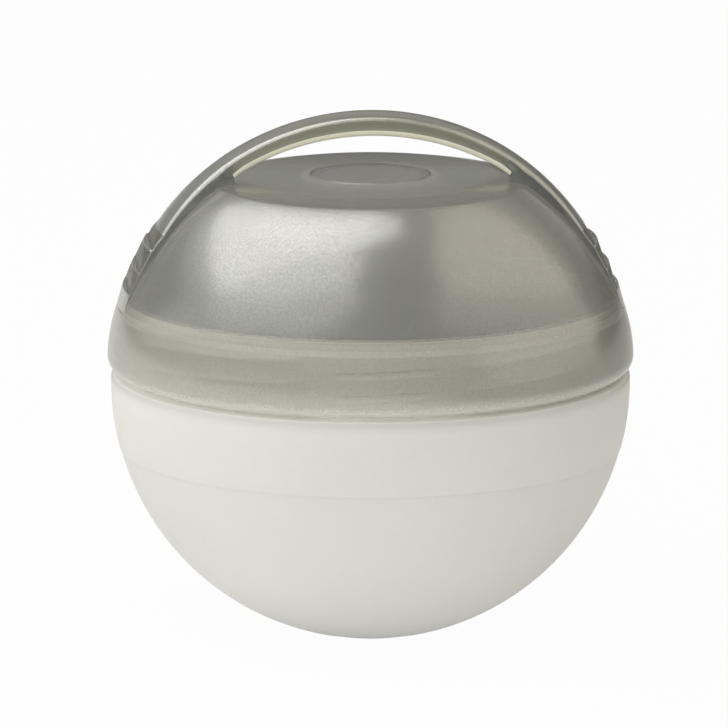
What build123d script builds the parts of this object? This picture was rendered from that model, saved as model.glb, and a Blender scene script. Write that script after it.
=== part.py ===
"""Ball-shaped carry case that sterilises soothers in cold solution.

Frame: millimetres, +Z up, origin at the centre of the flat foot, the arched
handle in the XZ plane, -Y is the front.
"""

import math
import os

from build123d import *

os.makedirs("parts", exist_ok=True)

# ---------------------------------------------------------------- dimensions
ball_r = 50.0            # outside radius of the lower shell
ball_z = 49.0            # height of its centre above the foot
foot_r = 9.95            # outer radius of the flat foot
dimple_r = 6.2           # gate dimple inside the foot
dimple_depth = 0.5
cavity_r = 47.6          # inside radius of the lower shell
cavity_z = 49.9
split_z = 36.0           # joint line between lower shell and neck collar
tongue_h = 2.0           # tongue of the lower shell inside the collar
tongue_r = 47.2

collar_r = 50.15         # the collar stands a hair proud of the lower shell
shoulder_z = 50.8        # flat shoulder that the lid comes down to
neck_r = 47.0            # root radius of the neck
neck_bore_r = 44.6
neck_top_z = 64.8
collar_bore_r = 46.1
thread_crest_r = 47.9
thread_arc = 52.0        # one thread segment, degrees
thread_lead_deg = 2.3    # slope angle of the thread, degrees
thread_rows = (52.65, 56.95, 61.2)    # mid heights of the three rows
gap_dir = -90.0          # direction of the first gap between thread sectors
lug_arc = 24.0           # one lug of the lid, degrees
lug_rows = (56.95 - 1.55, 61.2 - 1.55)
lock_turn = 33.0         # turn from free to locked, degrees

lid_wall_r = 48.2        # inside radius of the lid's skirt
lug_tip_r = 47.3
lid_edge_z = 51.6
dome_r = 52.4            # outside radius of the dome between skirt and top
dome_z = 45.56
dome_in_r = 49.9
top_z = 89.75            # crown of the lid's flat top
ceiling_z = 87.4

bow_r = 49.8             # outside radius of the arched handle
bow_z = 51.8
bow_in_r = 51.0          # underside of the handle, a flatter arc
bow_in_z = 46.83
bow_end_r = 26.75        # where the open gap under the handle ends
bow_end_round = 1.1      # rounding in that corner
seat_r = 52.18           # floor of the handle's seat in the dome
seat_z = 44.56
handle_foot_z = 64.3

stem_r = 11.6            # tube that hangs from the lid's top
stem_bore_r = 9.95
stem_end_z = 64.0
post_r = 9.55            # post of the basket, inside that tube
post_bore_r = 7.9
post_top_z = 76.0

dish_r = 46.0            # outside radius of the basket's curved wall
dish_z = 49.9
dish_wall = 1.6
dish_floor_z = 12.0
dish_rim_z = 30.0


# ------------------------------------------------------------------- helpers
def arc_mid(radius, centre_z, start, end):
    """Point halfway along an arc about (0, centre_z) in the r-z plane."""
    a = math.atan2(start[1] - centre_z, start[0])
    b = math.atan2(end[1] - centre_z, end[0])
    m = (a + b) / 2
    return (radius * math.cos(m), centre_z + radius * math.sin(m))


def on_ball(radius, centre_z, z):
    """Radius of a ball's surface at the height z."""
    return math.sqrt(radius**2 - (z - centre_z) ** 2)


def slope_frame(direction, height, arc, slope):
    """Section plane and turning axis of a sloping rib of the given arc."""
    d = math.radians(direction)
    s = math.radians(slope)
    radial = Vector(math.cos(d), math.sin(d), 0)
    tangent = Vector(-math.sin(d), math.cos(d), 0)
    up = Vector(0, 0, 1) * math.cos(s) - tangent * math.sin(s)
    turn_axis = Axis((0, 0, height), (up.X, up.Y, up.Z))
    start = radial.rotate(Axis((0, 0, 0), (up.X, up.Y, up.Z)), -arc / 2)
    plane = Plane(origin=(0, 0, height), x_dir=start, z_dir=start.cross(up))
    return plane, turn_axis


# ---------------------------------------------------------------- lower bowl
bowl_split_r = on_ball(ball_r, ball_z, split_z)
cavity_split_r = on_ball(cavity_r, cavity_z, split_z + tongue_h)

with BuildPart() as bowl_lower:
    with BuildSketch(Plane.XZ):
        with BuildLine():
            Polyline((0, dimple_depth), (dimple_r - 0.5, dimple_depth), (dimple_r, 0), (foot_r, 0))
            ThreePointArc(
                (foot_r, 0),
                arc_mid(ball_r, ball_z, (foot_r, 0), (bowl_split_r, split_z)),
                (bowl_split_r, split_z),
            )
            Polyline(
                (bowl_split_r, split_z),
                (tongue_r, split_z),
                (tongue_r, split_z + tongue_h - 0.4),
                (tongue_r - 0.4, split_z + tongue_h),
                (cavity_split_r, split_z + tongue_h),
            )
            ThreePointArc(
                (cavity_split_r, split_z + tongue_h),
                arc_mid(cavity_r, cavity_z, (cavity_split_r, split_z + tongue_h), (0, cavity_z - cavity_r)),
                (0, cavity_z - cavity_r),
            )
            Line((0, cavity_z - cavity_r), (0, dimple_depth))
        make_face()
    revolve(axis=Axis.Z)
bowl_lower.part.label = "bowl_lower"
export_step(bowl_lower.part, "parts/bowl_lower.step")

# --------------------------------------------------------------- neck collar
band_r = on_ball(collar_r, ball_z, split_z)
with BuildPart() as neck_collar:
    with BuildSketch(Plane.XZ):
        with BuildLine():
            Line((tongue_r + 0.05, split_z), (band_r, split_z))
            ThreePointArc(
                (band_r, split_z),
                arc_mid(collar_r, ball_z, (band_r, split_z), (collar_r, ball_z)),
                (collar_r, ball_z),
            )
            Line((collar_r, ball_z), (collar_r, shoulder_z - 0.75))
            ThreePointArc(
                (collar_r, shoulder_z - 0.75),
                (collar_r - 0.22, shoulder_z - 0.22),
                (collar_r - 0.75, shoulder_z),
            )
            Polyline(
                (collar_r - 0.75, shoulder_z),
                (neck_r + 0.5, shoulder_z),
                (neck_r, shoulder_z + 0.5),
                (neck_r, neck_top_z - 0.6),
                (neck_r - 0.6, neck_top_z),
                (neck_bore_r + 0.5, neck_top_z),
                (neck_bore_r, neck_top_z - 0.5),
                (neck_bore_r, 51.0),
                (collar_bore_r, 48.4),
                (collar_bore_r, 44.4),
                (collar_bore_r - 0.3, 44.1),
                (collar_bore_r, 43.8),
                (collar_bore_r, split_z + tongue_h + 0.05),
                (tongue_r + 0.05, split_z + tongue_h + 0.05),
                (tongue_r + 0.05, split_z),
            )
        make_face()
    revolve(axis=Axis.Z)
    # four sectors of sloping thread segments in three rows
    for sector in range(4):
        middle = gap_dir + 90 * sector - 45
        for height in thread_rows:
            section, turn_axis = slope_frame(middle, height, thread_arc, thread_lead_deg)
            with BuildSketch(section):
                with BuildLine():
                    Polyline(
                        (neck_r - 0.3, -0.62),
                        (thread_crest_r, -0.32),
                        (thread_crest_r, 0.28),
                        (neck_r - 0.3, 0.62),
                        close=True,
                    )
                make_face()
            revolve(axis=turn_axis, revolution_arc=thread_arc)
    # upright stops that end the lid's turn
    for sector in range(4):
        stop_plane = Plane(origin=(0, 0, 0), x_dir=(1, 0, 0), z_dir=(0, -1, 0)).rotated(
            (0, 0, gap_dir + 90 * sector - 49.5)
        )
        with BuildSketch(stop_plane):
            with BuildLine():
                Polyline((neck_r - 0.3, 53.6), (thread_crest_r - 0.1, 53.9), (thread_crest_r - 0.1, 56.8), (neck_r - 0.3, 56.8), close=True)
            make_face()
        revolve(axis=Axis.Z, revolution_arc=2.4)
neck_collar.part.label = "neck_collar"
export_step(neck_collar.part, "parts/neck_collar.step")

# ------------------------------------------------------------------ lid seal
with BuildPart() as lid_seal:
    with BuildSketch(Plane.XZ):
        with BuildLine():
            Polyline(
                (45.15, 64.85),
                (46.35, 64.85),
                (46.75, 65.05),
                (46.75, 65.4),
                (46.5, 65.62),
                (45.1, 65.62),
                (44.9, 65.45),
                (44.9, 65.05),
                close=True,
            )
        make_face()
    revolve(axis=Axis.Z)
lid_seal.part.label = "lid_seal"
export_step(lid_seal.part, "parts/lid_seal.step")

# --------------------------------------------- outline of the handle's width
half_widths = [
    (4.6, 101.7),
    (4.8, 99.5),
    (5.05, 97.0),
    (5.4, 94.4),
    (5.85, 91.4),
    (6.4, 88.2),
    (7.1, 84.8),
    (7.9, 81.6),
    (8.7, 78.6),
    (9.3, 75.6),
    (9.55, 72.4),
    (9.5, 69.0),
    (9.25, 66.0),
    (9.0, 63.0),
]


def width_outline(extra):
    """Closed outline of the handle seen along X, grown by extra."""
    right = [(w + extra, z) for w, z in half_widths]
    left = [(-w - extra, z) for w, z in reversed(half_widths)]
    Spline(*right)
    Line(right[-1], left[0])
    Spline(*left)
    Line(left[-1], right[0])


# cutter for the two seats that the handle's ends drop into
seat_low_r = on_ball(seat_r, seat_z, handle_foot_z - 0.05)
seat_top_r = 29.5
seat_top_z = seat_z + math.sqrt(seat_r**2 - seat_top_r**2)
with BuildPart() as seat_cutter:
    with BuildSketch(Plane.YZ):
        with BuildLine():
            width_outline(0.05)
        make_face()
    extrude(amount=60, both=True)
    with BuildSketch(Plane.XZ):
        with BuildLine():
            Line((0, 60), (seat_low_r + 8, 60))
            Line((seat_low_r + 8, 60), (seat_low_r + 8, handle_foot_z - 0.05))
            Line((seat_low_r + 8, handle_foot_z - 0.05), (seat_low_r, handle_foot_z - 0.05))
            ThreePointArc(
                (seat_low_r, handle_foot_z - 0.05),
                arc_mid(seat_r, seat_z, (seat_low_r, handle_foot_z - 0.05), (seat_top_r, seat_top_z)),
                (seat_top_r, seat_top_z),
            )
            Polyline((seat_top_r, seat_top_z), (24.0, 89.0), (0, 89.0), (0, 60))
        make_face()
    revolve(axis=Axis.Z, mode=Mode.SUBTRACT)
    with BuildSketch(Plane.XY.offset(55)):
        Circle(bow_end_r - 0.05)
    extrude(amount=50, mode=Mode.SUBTRACT)

# ------------------------------------------------------------------ lid dome
edge_r = on_ball(dome_r, dome_z, 65.2)
crown_r = 30.4
crown_z = dome_z + math.sqrt(dome_r**2 - crown_r**2)
ledge_r = on_ball(dome_in_r, dome_z, 65.72)
vault_r = 28.4
vault_z = dome_z + math.sqrt(dome_in_r**2 - vault_r**2)
with BuildPart() as lid_dome:
    with BuildSketch(Plane.XZ):
        with BuildLine():
            Line((48.5, lid_edge_z), (48.95, lid_edge_z))
            ThreePointArc((48.95, lid_edge_z), (50.28, 52.75), (50.8, 54.9))
            ThreePointArc((50.8, 54.9), (50.12, 60.0), (edge_r, 65.2))
            ThreePointArc(
                (edge_r, 65.2),
                arc_mid(dome_r, dome_z, (edge_r, 65.2), (crown_r, crown_z)),
                (crown_r, crown_z),
            )
            Line((crown_r, crown_z), (25.0, 89.3))
            Line((25.0, 89.3), (13.0, 89.7))
            Line((13.0, 89.7), (0, top_z))
            Line((0, top_z), (0, ceiling_z))
            Line((0, ceiling_z), (23.5, ceiling_z))
            Line((23.5, ceiling_z), (vault_r, vault_z))
            ThreePointArc(
                (vault_r, vault_z),
                arc_mid(dome_in_r, dome_z, (vault_r, vault_z), (ledge_r, 65.72)),
                (ledge_r, 65.72),
            )
            Polyline(
                (ledge_r, 65.72),
                (47.3, 65.72),
                (47.3, 63.9),
                (lid_wall_r, 63.0),
                (lid_wall_r, lid_edge_z + 0.6),
                (48.5, lid_edge_z),
            )
        make_face()
    revolve(axis=Axis.Z)
    add(seat_cutter.part, mode=Mode.SUBTRACT)
    # round hole in the top for the stem's boss
    with BuildSketch(Plane.XY.offset(80)):
        Circle(stem_r + 0.05)
    extrude(amount=15, mode=Mode.SUBTRACT)
    # lugs that turn under the neck's thread segments
    for sector in range(4):
        for height in lug_rows:
            section, turn_axis = slope_frame(gap_dir + 90 * sector, height, lug_arc, thread_lead_deg)
            with BuildSketch(section):
                with BuildLine():
                    Polyline(
                        (lid_wall_r + 0.3, -0.6),
                        (lug_tip_r, -0.25),
                        (lug_tip_r, 0.25),
                        (lid_wall_r + 0.3, 0.6),
                        close=True,
                    )
                make_face()
            revolve(axis=turn_axis, revolution_arc=lug_arc)
lid_dome.part.label = "lid_dome"
export_step(lid_dome.part, "parts/lid_dome.step")

# ---------------------------------------------------------------- lid handle
rims = [(48.95, handle_foot_z), (47.85, 68.2), (46.0, 72.4), (43.75, 76.8), (on_ball(bow_r, bow_z, 79.8), 79.8)]
step_depth = (0.9, 0.95, 1.2)      # middle depth of the finger steps, lowest first
round_r = bow_end_r - bow_end_round
round_z = bow_in_z + math.sqrt((bow_in_r - bow_end_round) ** 2 - round_r**2)
round_turn = math.atan2(round_z - bow_in_z, round_r)
round_mid = (
    round_r + bow_end_round * math.cos(round_turn / 2),
    round_z + bow_end_round * math.sin(round_turn / 2),
)
round_top = (bow_in_r * math.cos(round_turn), bow_in_z + bow_in_r * math.sin(round_turn))
with BuildPart() as lid_handle:
    with BuildSketch(Plane.XZ):
        with BuildLine():
            Line((0, handle_foot_z), rims[0])
            Polyline(*rims)
            ThreePointArc(
                rims[-1],
                arc_mid(bow_r, bow_z, rims[-1], (0, bow_z + bow_r)),
                (0, bow_z + bow_r),
            )
            Line((0, bow_z + bow_r), (0, handle_foot_z))
        make_face()
    revolve(axis=Axis.Z)
    with BuildSketch(Plane.XZ):
        with BuildLine():
            Line((0, 60), (seat_low_r + 0.05, 60))
            Line((seat_low_r + 0.05, 60), (seat_low_r + 0.05, handle_foot_z - 0.05))
            ThreePointArc(
                (seat_low_r + 0.05, handle_foot_z - 0.05),
                arc_mid(
                    seat_r + 0.05, seat_z, (seat_low_r + 0.05, handle_foot_z - 0.05), (seat_top_r, seat_top_z + 0.05)
                ),
                (seat_top_r, seat_top_z + 0.06),
            )
            Polyline((seat_top_r, seat_top_z + 0.06), (24.0, 89.05), (0, 89.05), (0, 60))
        make_face()
    revolve(axis=Axis.Z, mode=Mode.SUBTRACT)
    with BuildSketch(Plane.XZ):
        with BuildLine():
            Polyline((0, 60), (bow_end_r, 60), (bow_end_r, round_z))
            ThreePointArc((bow_end_r, round_z), round_mid, round_top)
            ThreePointArc(
                round_top,
                arc_mid(bow_in_r, bow_in_z, round_top, (0, bow_in_z + bow_in_r)),
                (0, bow_in_z + bow_in_r),
            )
            Line((0, bow_in_z + bow_in_r), (0, 60))
        make_face()
    revolve(axis=Axis.Z, mode=Mode.SUBTRACT)
    with BuildSketch(Plane.YZ):
        with BuildLine():
            width_outline(0.0)
        make_face()
    extrude(amount=60, both=True, mode=Mode.INTERSECT)
    # straight finger steps, deepest in the middle and fading out at the sides
    for low, high, depth in zip(rims[1:4], rims[2:5], step_depth):
        for side in (1, -1):
            with BuildSketch(Plane.XZ):
                with BuildLine():
                    Polyline(
                        (side * (low[0] - depth), low[1]),
                        (side * (low[0] + 3), low[1]),
                        (side * (high[0] + 3), high[1]),
                        (side * high[0], high[1]),
                        close=True,
                    )
                make_face()
            extrude(amount=20, both=True, mode=Mode.SUBTRACT)
lid_handle.part.label = "lid_handle"
export_step(lid_handle.part, "parts/lid_handle.step")

# ------------------------------------------------------------------ lid stem
with BuildPart() as lid_stem:
    with BuildSketch(Plane.XZ):
        with BuildLine():
            Polyline(
                (0, 89.72),
                (stem_r - 0.35, 89.68),
                (stem_r, 89.35),
                (stem_r, ceiling_z),
                (13.6, ceiling_z),
                (13.6, ceiling_z - 1.4),
                (13.2, ceiling_z - 1.8),
                (stem_r + 0.8, ceiling_z - 1.8),
                (stem_r, ceiling_z - 2.6),
                (stem_r, stem_end_z + 0.5),
                (stem_r - 0.4, stem_end_z),
                (stem_bore_r + 0.5, stem_end_z),
                (stem_bore_r, stem_end_z + 0.6),
                (stem_bore_r, 87.2),
                (stem_bore_r - 0.8, 87.9),
                (0, 87.9),
                close=True,
            )
        make_face()
    revolve(axis=Axis.Z)
lid_stem.part.label = "lid_stem"
export_step(lid_stem.part, "parts/lid_stem.step")

# --------------------------------------------------------------- basket post
hub_top_z = dish_floor_z + dish_wall + 9.0
with BuildPart() as basket_post:
    with BuildSketch(Plane.XZ):
        with BuildLine():
            Line((post_bore_r, dish_floor_z + dish_wall), (post_r + 1.4, dish_floor_z + dish_wall))
            Polyline(
                (post_r + 1.4, dish_floor_z + dish_wall),
                (post_r, dish_floor_z + dish_wall + 3.0),
                (post_r, 61.9),
                (11.3, 62.6),
                (11.3, 63.3),
                (10.9, 63.7),
                (post_r, 63.7),
                (post_r, post_top_z - 3.0),
            )
            ThreePointArc(
                (post_r, post_top_z - 3.0),
                (post_r - 0.88, post_top_z - 0.88),
                (post_r - 3.0, post_top_z),
            )
            Polyline(
                (post_r - 3.0, post_top_z),
                (0, post_top_z),
                (0, post_top_z - 1.8),
                (post_bore_r - 1.6, post_top_z - 1.8),
                (post_bore_r, post_top_z - 3.4),
                (post_bore_r, dish_floor_z + dish_wall),
            )
        make_face()
    revolve(axis=Axis.Z)
    # two drain slots through the foot of the post
    with BuildSketch(Plane.XZ.offset(-15)):
        with Locations((0, dish_floor_z + dish_wall + 12.5)):
            SlotOverall(10.0, 4.0, rotation=90)
    extrude(amount=30, mode=Mode.SUBTRACT)
basket_post.part.label = "basket_post"
export_step(basket_post.part, "parts/basket_post.step")

# ------------------------------------------------------------ soother basket
dish_low_r = on_ball(dish_r, dish_z, dish_floor_z)
dish_rim_r = on_ball(dish_r, dish_z, dish_rim_z)
dish_in_r = dish_r - dish_wall
dish_in_low = on_ball(dish_in_r, dish_z, dish_floor_z + dish_wall)
dish_in_rim = on_ball(dish_in_r, dish_z, dish_rim_z)
with BuildPart() as soother_basket:
    with BuildSketch(Plane.XZ):
        with BuildLine():
            Line((0, dish_floor_z), (dish_low_r, dish_floor_z))
            ThreePointArc(
                (dish_low_r, dish_floor_z),
                arc_mid(dish_r, dish_z, (dish_low_r, dish_floor_z), (dish_rim_r, dish_rim_z)),
                (dish_rim_r, dish_rim_z),
            )
            Polyline(
                (dish_rim_r, dish_rim_z),
                (42.6, dish_rim_z),
                (42.9, dish_rim_z + 0.3),
                (42.9, dish_rim_z + 1.5),
                (42.6, dish_rim_z + 1.8),
                (40.8, dish_rim_z + 1.8),
                (dish_in_rim, dish_rim_z),
            )
            ThreePointArc(
                (dish_in_rim, dish_rim_z),
                arc_mid(dish_in_r, dish_z, (dish_in_rim, dish_rim_z), (dish_in_low, dish_floor_z + dish_wall)),
                (dish_in_low, dish_floor_z + dish_wall),
            )
            Polyline(
                (dish_in_low, dish_floor_z + dish_wall),
                (post_bore_r - 0.05, dish_floor_z + dish_wall),
                (post_bore_r - 0.05, hub_top_z - 0.6),
                (post_bore_r - 0.65, hub_top_z),
                (5.9, hub_top_z),
                (5.9, dish_floor_z + dish_wall),
                (0, dish_floor_z + dish_wall),
                (0, dish_floor_z),
            )
        make_face()
    revolve(axis=Axis.Z)
    # foot ring with four water gaps
    with BuildSketch(Plane.XY.offset(4.65)):
        Circle(13.6)
        Circle(12.0, mode=Mode.SUBTRACT)
    extrude(amount=dish_floor_z - 4.65 + 0.2)
    with BuildSketch(Plane.XY.offset(4.0)):
        with PolarLocations(12.8, 4):
            Rectangle(6, 5)
    extrude(amount=5.0, mode=Mode.SUBTRACT)
    # drain holes in the floor
    with BuildSketch(Plane.XY.offset(dish_floor_z - 1)):
        with PolarLocations(18.6, 12):
            Circle(2.2)
        with PolarLocations(3.4, 3):
            Circle(1.2)
    extrude(amount=4, mode=Mode.SUBTRACT)
    # upright slots round the curved wall
    for n in range(8):
        slot_plane = Plane(
            origin=(0, 0, 0),
            x_dir=(-math.sin(math.radians(45 * n + 22.5)), math.cos(math.radians(45 * n + 22.5)), 0),
            z_dir=(math.cos(math.radians(45 * n + 22.5)), math.sin(math.radians(45 * n + 22.5)), 0),
        )
        with BuildSketch(slot_plane.offset(26)):
            with Locations((-4.4, 23.2), (4.4, 23.2)):
                SlotOverall(9.5, 4.2, rotation=90)
        extrude(amount=24, mode=Mode.SUBTRACT)
soother_basket.part.label = "soother_basket"
export_step(soother_basket.part, "parts/soother_basket.step")
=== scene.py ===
import math

import bmesh
import bpy
import numpy as np
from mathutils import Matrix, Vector


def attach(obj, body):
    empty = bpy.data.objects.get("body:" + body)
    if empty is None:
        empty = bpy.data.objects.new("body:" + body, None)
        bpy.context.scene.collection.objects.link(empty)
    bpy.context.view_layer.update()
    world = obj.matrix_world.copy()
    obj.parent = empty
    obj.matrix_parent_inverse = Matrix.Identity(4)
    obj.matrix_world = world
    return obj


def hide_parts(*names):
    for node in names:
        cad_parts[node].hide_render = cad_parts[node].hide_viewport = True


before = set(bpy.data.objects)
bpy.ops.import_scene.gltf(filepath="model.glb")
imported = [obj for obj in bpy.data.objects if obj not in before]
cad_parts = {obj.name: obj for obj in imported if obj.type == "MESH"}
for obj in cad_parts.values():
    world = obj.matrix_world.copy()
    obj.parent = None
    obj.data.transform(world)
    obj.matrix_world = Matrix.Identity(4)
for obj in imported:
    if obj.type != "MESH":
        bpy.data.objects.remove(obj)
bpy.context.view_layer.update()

MM = 0.001

# ------------------------------------------------------------------ dimensions
BALL_R, BALL_Z = 50.0, 49.0
SPLIT_Z = 36.0
TONGUE_R = 47.2
CAV_R, CAV_Z = 47.6, 49.9
COLLAR_R = 50.15
SHOULDER_Z = 50.8
NECK_R, NECK_BORE, NECK_TOP = 47.0, 44.6, 64.8
COLLAR_BORE = 46.1
GAP_DIR = -90.0
SLOPE = math.tan(math.radians(2.3))
THREAD_ROWS = (52.65, 56.95, 61.2)
LUG_ROWS = (55.4, 59.65)
WALL_R = 48.2
EDGE_Z = 51.6
DOME_R, DOME_Z, DOME_IN = 52.4, 45.56, 49.9
CEILING_Z = 87.4
BOW_R, BOW_Z = 49.8, 51.8
BOW_IN, BOW_IN_Z, BOW_END, END_ROUND = 51.0, 46.83, 26.75, 1.1
SEAT_R, SEAT_Z = 52.18, 44.56
FOOT_Z = 64.3
HALF_WIDTHS = [
    (4.6, 101.7),
    (4.8, 99.5),
    (5.05, 97.0),
    (5.4, 94.4),
    (5.85, 91.4),
    (6.4, 88.2),
    (7.1, 84.8),
    (7.9, 81.6),
    (8.7, 78.6),
    (9.3, 75.6),
    (9.55, 72.4),
    (9.5, 69.0),
    (9.25, 66.0),
    (9.0, 63.0),
]
RIMS = [(48.95, 64.3), (47.85, 68.2), (46.0, 72.4), (43.75, 76.8), (math.sqrt(49.8**2 - 28.0**2), 79.8)]
STEP_DEPTH = (0.9, 0.95, 1.2)


# --------------------------------------------------------------------- helpers
def smooth(a, b, x):
    """0 below a, 1 above b, an S curve between."""
    t = min(1.0, max(0.0, (x - a) / (b - a)))
    return t * t * (3 - 2 * t)


def half_width(z):
    """Half width of the handle at the height z, as a smooth curve."""
    pts = sorted((zz, w) for w, zz in HALF_WIDTHS)
    zs = [p[0] for p in pts]
    ws = [p[1] for p in pts]
    if z <= zs[0]:
        return ws[0]
    if z >= zs[-1]:
        return ws[-1]
    k = max(i for i in range(len(zs) - 1) if zs[i] <= z)
    h = zs[k + 1] - zs[k]
    t = (z - zs[k]) / h

    def slope(i):
        if i <= 0:
            return (ws[1] - ws[0]) / (zs[1] - zs[0])
        if i >= len(zs) - 1:
            return (ws[-1] - ws[-2]) / (zs[-1] - zs[-2])
        return (ws[i + 1] - ws[i - 1]) / (zs[i + 1] - zs[i - 1])

    m0, m1 = slope(k) * h, slope(k + 1) * h
    return (
        (2 * t**3 - 3 * t**2 + 1) * ws[k]
        + (t**3 - 2 * t**2 + t) * m0
        + (-2 * t**3 + 3 * t**2) * ws[k + 1]
        + (t**3 - t**2) * m1
    )


def rounded(points, closed=False, n=5):
    """A polyline of (r, z) or (r, z, fillet) with its marked corners rounded."""
    out = []
    count = len(points)
    for i, p in enumerate(points):
        f = p[2] if len(p) > 2 else 0.0
        inner = closed or 0 < i < count - 1
        if f <= 0 or not inner:
            out.append((p[0], p[1]))
            continue
        a = np.array(points[(i - 1) % count][:2], float)
        b = np.array(p[:2], float)
        c = np.array(points[(i + 1) % count][:2], float)
        u, v = a - b, c - b
        lu, lv = np.linalg.norm(u), np.linalg.norm(v)
        u, v = u / lu, v / lv
        ang = math.acos(max(-1, min(1, float(u @ v))))
        if ang > math.pi - 0.02:
            out.append((p[0], p[1]))
            continue
        cut = min(f / math.tan(ang / 2), 0.46 * lu, 0.46 * lv)
        rad = cut * math.tan(ang / 2)
        mid = (u + v) / np.linalg.norm(u + v)
        centre = b + mid * (rad / math.sin(ang / 2))
        s, e = b + u * cut - centre, b + v * cut - centre
        a0 = math.atan2(s[1], s[0])
        a1 = math.atan2(e[1], e[0])
        d = (a1 - a0 + math.pi) % (2 * math.pi) - math.pi
        for k in range(n + 1):
            t = a0 + d * k / n
            out.append((centre[0] + rad * math.cos(t), centre[1] + rad * math.sin(t)))
    return out


def ball_arc(radius, centre_z, z0, z1, step=1.2, ends=(0.0, 0.0)):
    """Points of an arc about (0, centre_z) from the height z0 to z1, as (r, z, fillet)."""
    a0 = math.asin(max(-1, min(1, (z0 - centre_z) / radius)))
    a1 = math.asin(max(-1, min(1, (z1 - centre_z) / radius)))
    n = max(2, int(abs(a1 - a0) * radius / step))
    pts = []
    for k in range(n + 1):
        a = a0 + (a1 - a0) * k / n
        f = ends[0] if k == 0 else ends[1] if k == n else 0.0
        pts.append((max(0.0, radius * math.cos(a)), centre_z + radius * math.sin(a), f))
    return pts


def circle_arc(p0, p1, p2, n):
    """Points of the arc through three (r, z) points."""
    ax, ay, bx, by, cx, cy = *p0, *p1, *p2
    d = 2 * (ax * (by - cy) + bx * (cy - ay) + cx * (ay - by))
    ux = ((ax**2 + ay**2) * (by - cy) + (bx**2 + by**2) * (cy - ay) + (cx**2 + cy**2) * (ay - by)) / d
    uy = ((ax**2 + ay**2) * (cx - bx) + (bx**2 + by**2) * (ax - cx) + (cx**2 + cy**2) * (bx - ax)) / d
    rad = math.hypot(ax - ux, ay - uy)
    a0, am, a1 = (math.atan2(q[1] - uy, q[0] - ux) for q in (p0, p1, p2))
    d1 = (a1 - a0 + math.pi) % (2 * math.pi) - math.pi
    dm = (am - a0 + math.pi) % (2 * math.pi) - math.pi
    if d1 * dm < 0:
        d1 = d1 - math.copysign(2 * math.pi, d1)
    return [(ux + rad * math.cos(a0 + d1 * k / n), uy + rad * math.sin(a0 + d1 * k / n)) for k in range(n + 1)]


def dense(p, q, step):
    """Points between p and q, both included, no further apart than step."""
    n = max(1, int(math.ceil(math.hypot(q[0] - p[0], q[1] - p[1]) / step)))
    return [(p[0] + (q[0] - p[0]) * k / n, p[1] + (q[1] - p[1]) * k / n) for k in range(n + 1)]


def finish_mesh(name, verts, faces, slots=None, sharp=38.0):
    me = bpy.data.meshes.new(name)
    me.from_pydata([(x * MM, y * MM, z * MM) for x, y, z in verts], [], faces)
    bm = bmesh.new()
    bm.from_mesh(me)
    bmesh.ops.remove_doubles(bm, verts=bm.verts, dist=1e-8)
    bmesh.ops.recalc_face_normals(bm, faces=bm.faces)
    bm.to_mesh(me)
    bm.free()
    me.polygons.foreach_set("use_smooth", [True] * len(me.polygons))
    me.set_sharp_from_angle(angle=math.radians(sharp))
    me.update()
    ob = bpy.data.objects.new(name, me)
    bpy.context.scene.collection.objects.link(ob)
    return ob


def lathe(name, profile, columns, closed=True, place=None):
    """Turns a profile of (r, z) about Z. place(row, r, z, degrees) may move a point."""
    prof = []
    for p in profile:
        if not prof or math.hypot(p[0] - prof[-1][0], p[1] - prof[-1][1]) > 1e-4:
            prof.append((p[0], p[1]))
    if closed and math.hypot(prof[0][0] - prof[-1][0], prof[0][1] - prof[-1][1]) < 1e-4:
        prof.pop()
    verts, rings = [], []
    for i, (r, z) in enumerate(prof):
        if r < 1e-5:
            rings.append([len(verts)] * len(columns))
            verts.append((0.0, 0.0, z))
            continue
        ring = []
        for deg in columns:
            rr, zz, dd = (r, z, deg) if place is None else place(i, r, z, deg)
            a = math.radians(dd)
            ring.append(len(verts))
            verts.append((rr * math.cos(a), rr * math.sin(a), zz))
        rings.append(ring)
    faces = []
    rows = len(rings)
    for i in range(rows if closed else rows - 1):
        a, b = rings[i], rings[(i + 1) % rows]
        if a[0] == a[-1] and b[0] == b[-1]:
            continue
        for j in range(len(columns)):
            k = (j + 1) % len(columns)
            quad = []
            for v in (a[j], a[k], b[k], b[j]):
                if v not in quad:
                    quad.append(v)
            if len(quad) > 2:
                faces.append(quad)
    return finish_mesh(name, verts, faces)


def outside_slot(ob, centre, least, inner_mat):
    """Gives faces that don't look away from the centre height a second material."""
    ob.data.materials.append(inner_mat)
    c = Vector((0.0, 0.0, centre * MM))
    for p in ob.data.polygons:
        out = (p.center - c).normalized()
        if p.normal.dot(out) < least:
            p.material_index = 1


def even(n):
    return [360.0 * k / n for k in range(n)]


# -------------------------------------------------------------------- node kit
def nodes_of(name):
    mat = bpy.data.materials.new(name)
    mat.use_nodes = True
    nt = mat.node_tree
    nt.nodes.clear()
    out = nt.nodes.new("ShaderNodeOutputMaterial")
    bsdf = nt.nodes.new("ShaderNodeBsdfPrincipled")
    nt.links.new(bsdf.outputs[0], out.inputs["Surface"])
    coord = nt.nodes.new("ShaderNodeTexCoord")
    return mat, nt, bsdf, out, coord


def noise_tex(nt, coord, scale, detail=2.0, rough=0.5, stretch=None, seed=0.0):
    src = coord.outputs["Object"]
    if stretch is not None:
        m = nt.nodes.new("ShaderNodeMapping")
        m.inputs["Scale"].default_value = stretch
        m.inputs["Location"].default_value = (seed, seed * 1.7, seed * 0.3)
        nt.links.new(src, m.inputs["Vector"])
        src = m.outputs[0]
    t = nt.nodes.new("ShaderNodeTexNoise")
    t.inputs["Scale"].default_value = scale
    t.inputs["Detail"].default_value = detail
    t.inputs["Roughness"].default_value = rough
    nt.links.new(src, t.inputs["Vector"])
    return t.outputs["Fac"]


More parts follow.
